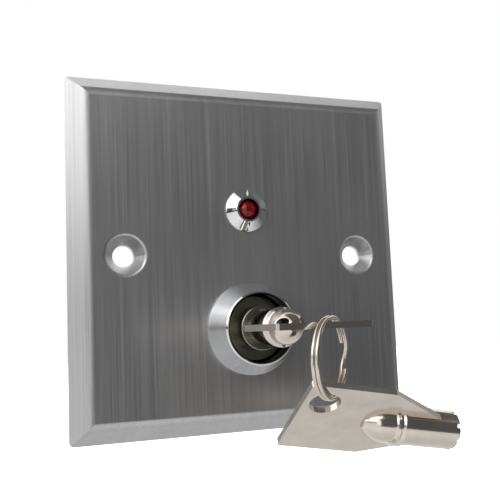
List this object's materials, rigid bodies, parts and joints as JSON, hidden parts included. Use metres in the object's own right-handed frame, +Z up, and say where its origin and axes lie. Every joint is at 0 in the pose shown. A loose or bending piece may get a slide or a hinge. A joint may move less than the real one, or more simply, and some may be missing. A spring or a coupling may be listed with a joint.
{
  "type": "selector key switch",
  "caption": "Flush square wall plate with a tubular key lock that turns a rotary contact block a quarter turn, an indicator lamp, and a key in the lock with its twin on a split ring.",
  "frame": {"origin": "centre of the wall plate on the wall plane, midway between the two fixing holes", "axes": "+Z up, +X to the right as a person faces the plate, +Y into the wall; the visible face looks along -Y"},
  "size_m": [0.086, 0.0812, 0.0876],
  "materials": {
    "brushed_stainless": "vertical brushed grain",
    "chrome_plate": "polished plating",
    "turned_brass": "fine turned",
    "pin_steel": "ground",
    "spring_steel": "bright zinc",
    "black_nylon": "moulded satin",
    "tinned_brass": "dull tin",
    "red_lens": "clear red epoxy",
    "nickel_plate": "nickel plate, lightly worn"
  },
  "bodies": {
    "panel": {"contact_spring": "spring_steel", "face_plate": "brushed_stainless", "lamp_bezel": "chrome_plate", "lamp_holder": "black_nylon", "lamp_leads": "tinned_brass", "lamp_lens": "red_lens", "lamp_nut": "turned_brass", "lamp_washer": "spring_steel", "lock_bezel": "chrome_plate", "lock_housing": "chrome_plate", "lock_nut": "turned_brass", "lock_washer": "spring_steel", "pin_sleeve": "turned_brass", "pin_springs": "spring_steel", "sleeve_pin": "pin_steel", "stop_ball": "pin_steel", "stop_screw": "spring_steel", "switch_body": "black_nylon", "switch_cover": "black_nylon", "switch_screws": "spring_steel", "switch_terminals": "tinned_brass"},
    "rotor": {"lock_plug": "turned_brass", "stop_cam": "turned_brass", "spindle_clip": "spring_steel", "contact_carrier": "black_nylon", "contact_bridge": "tinned_brass"},
    "tumblers": {"front_pins": "pin_steel"},
    "drivers": {"driver_pins": "pin_steel"},
    "key": {"key_barrel": "nickel_plate", "key_bow": "nickel_plate", "key_pin": "nickel_plate"},
    "ring": {"split_ring": "nickel_plate"},
    "spare_key": {"spare_key_barrel": "nickel_plate", "spare_key_bow": "nickel_plate", "spare_key_pin": "nickel_plate"}
  },
  "joints": [
    {"name": "key_turn", "type": "hinge", "parent": "panel", "child": "rotor", "pos_m": [0, 0, -0.018], "axis": [0, 1, 0], "range_deg": [0, 90]},
    {"name": "key_withdraw", "type": "slide", "parent": "rotor", "child": "key", "axis": [0, -1, 0], "range_m": [0, 0.025]},
    {"name": "tumbler_rise", "type": "slide", "parent": "rotor", "child": "tumblers", "axis": [0, -1, 0], "range_m": [0, 0.0005]},
    {"name": "driver_rise", "type": "slide", "parent": "panel", "child": "drivers", "axis": [0, -1, 0], "range_m": [0, 0.0005]},
    {"name": "ring_swing", "type": "hinge", "parent": "key", "child": "ring", "pos_m": [0.00114, -0.04448, -0.018], "axis": [0.7432, 0.6691, 0], "range_deg": [-12, 9]},
    {"name": "spare_key_swing", "type": "hinge", "parent": "ring", "child": "spare_key", "pos_m": [-0.00184, -0.04646, -0.02917], "axis": [0.5867, 0.5648, -0.5803], "range_deg": [-4, 28]}
  ],
  "couplings": [
    {"joint": "tumbler_rise", "follows": "key_withdraw", "ratio": 0.02},
    {"joint": "driver_rise", "follows": "key_withdraw", "ratio": 0.02}
  ]
}
